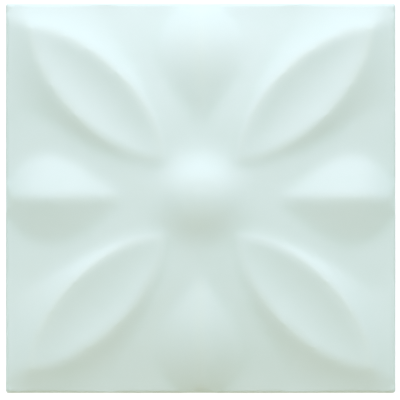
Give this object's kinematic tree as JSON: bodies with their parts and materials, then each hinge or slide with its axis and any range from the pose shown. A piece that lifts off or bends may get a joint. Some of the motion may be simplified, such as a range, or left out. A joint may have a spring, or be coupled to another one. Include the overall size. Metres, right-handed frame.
{
  "type": "relief tile",
  "caption": "Square glazed ceramic wall tile whose cushioned face carries a raised flower of hollowed leaves, ridged petals and a round boss; keyed flat back.",
  "frame": {"origin": "centre of the back, on the plane that the tile lies on", "axes": "+Z points out of the relief face, X and Y run along the sides"},
  "size_m": [0.148, 0.148, 0.0161],
  "materials": {
    "glaze": "pale mint glaze, satin gloss"
  },
  "bodies": {
    "root": {"relief_tile": "glaze"}
  },
  "joints": []
}
